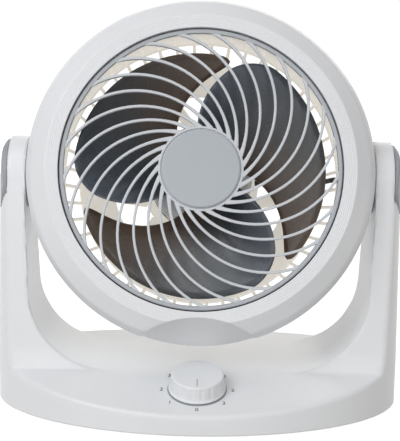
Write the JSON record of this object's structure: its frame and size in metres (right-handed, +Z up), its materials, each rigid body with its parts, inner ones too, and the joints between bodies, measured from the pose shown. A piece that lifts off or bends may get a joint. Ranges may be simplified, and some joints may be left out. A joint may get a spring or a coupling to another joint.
{
  "type": "table air circulator fan",
  "caption": "Small table fan with a round drum head that tilts between the arms of a U-shaped stand, swept guard bars, curved blades and a rotary speed knob on an oscillating base.",
  "frame": {"origin": "on the floor, under the middle of the tilt axis and at the turntable's axis", "axes": "+Z up, the air leaves along -Y, +X to the right as seen from in front"},
  "size_m": [0.296, 0.192, 0.2933],
  "materials": {
    "white_shell": "satin gloss",
    "grey_trim": "satin",
    "silver_guard": "satin",
    "cream_guard": "satin",
    "blade_plastic": "gloss",
    "black_plastic": "satin",
    "nylon": "satin",
    "rubber": "matte",
    "steel": "zinc plated",
    "cast_alloy": "as cast",
    "laminations": "varnished steel",
    "copper_wire": "enamelled wire"
  },
  "bodies": {
    "foot": {"foot_plate": "grey_trim", "foot_pad_1": "rubber", "foot_pad_2": "rubber", "foot_pad_3": "rubber", "foot_pad_4": "rubber", "thrust_washer": "nylon", "turntable_retainer": "steel", "drive_arm": "steel", "turntable_screw": "steel"},
    "stand": {"stand_housing": "white_shell", "stand_arm_left": "white_shell", "stand_arm_right": "white_shell", "bottom_cover": "white_shell", "cover_screw_1": "steel", "cover_screw_2": "steel", "cover_screw_3": "steel", "cover_screw_4": "steel", "oscillation_motor": "cast_alloy", "run_capacitor": "black_plastic", "terminal_block": "nylon", "cord_gland": "black_plastic", "rotary_switch": "black_plastic", "pivot_cap_left": "grey_trim", "pivot_cap_right": "grey_trim", "friction_washer_left": "nylon", "friction_washer_right": "nylon", "pivot_screw_left": "steel", "pivot_screw_right": "steel"},
    "head": {"pivot_bush_left": "grey_trim", "pivot_bush_right": "grey_trim", "front_bezel": "white_shell", "drum_housing": "white_shell", "air_duct": "cream_guard", "front_guard": "silver_guard", "hub_disc": "silver_guard", "rear_guard": "cream_guard", "motor_cover": "white_shell", "motor_front_bracket": "cast_alloy", "motor_stator": "laminations", "stator_winding_front": "copper_wire", "stator_winding_rear": "copper_wire", "motor_rear_bracket": "cast_alloy", "bearing_front": "steel", "bearing_rear": "steel", "motor_screw_1": "steel", "motor_screw_2": "steel", "motor_screw_3": "steel", "motor_screw_4": "steel", "motor_lead": "black_plastic"},
    "impeller": {"motor_shaft": "steel", "motor_rotor": "laminations", "blade_nut": "black_plastic", "fan_blades": "blade_plastic"},
    "knob": {"speed_knob": "white_shell", "switch_shaft": "steel"},
    "crank": {"crank_disc": "nylon"},
    "link": {"drive_link": "nylon"}
  },
  "joints": [
    {"name": "oscillation", "type": "hinge", "parent": "foot", "child": "stand", "pos_m": [0, 0, 0.01], "axis": [0, 0, 1], "range_deg": [-30, 30]},
    {"name": "head_tilt", "type": "hinge", "parent": "stand", "child": "head", "pos_m": [0, 0, 0.1655], "axis": [-1, 0, 0], "range_deg": [-15, 75]},
    {"name": "impeller_spin", "type": "hinge", "parent": "head", "child": "impeller", "pos_m": [0, 0, 0.1655], "axis": [0, 0.9659, -0.2588], "continuous": true},
    {"name": "knob_turn", "type": "hinge", "parent": "stand", "child": "knob", "pos_m": [0, -0.064, 0.02418], "axis": [0, 0.2756, -0.9613], "range_deg": [0, 315]},
    {"name": "crank_spin", "type": "hinge", "parent": "stand", "child": "crank", "pos_m": [0.022, 0.046, 0.015], "axis": [0, 0, 1], "continuous": true},
    {"name": "link_swing", "type": "hinge", "parent": "crank", "child": "link", "pos_m": [0.011, 0.046, 0.0107], "axis": [0, 0, 1], "continuous": true}
  ],
  "couplings": [
    {"joint": "link_swing", "follows": "crank_spin", "ratio": -1}
  ]
}
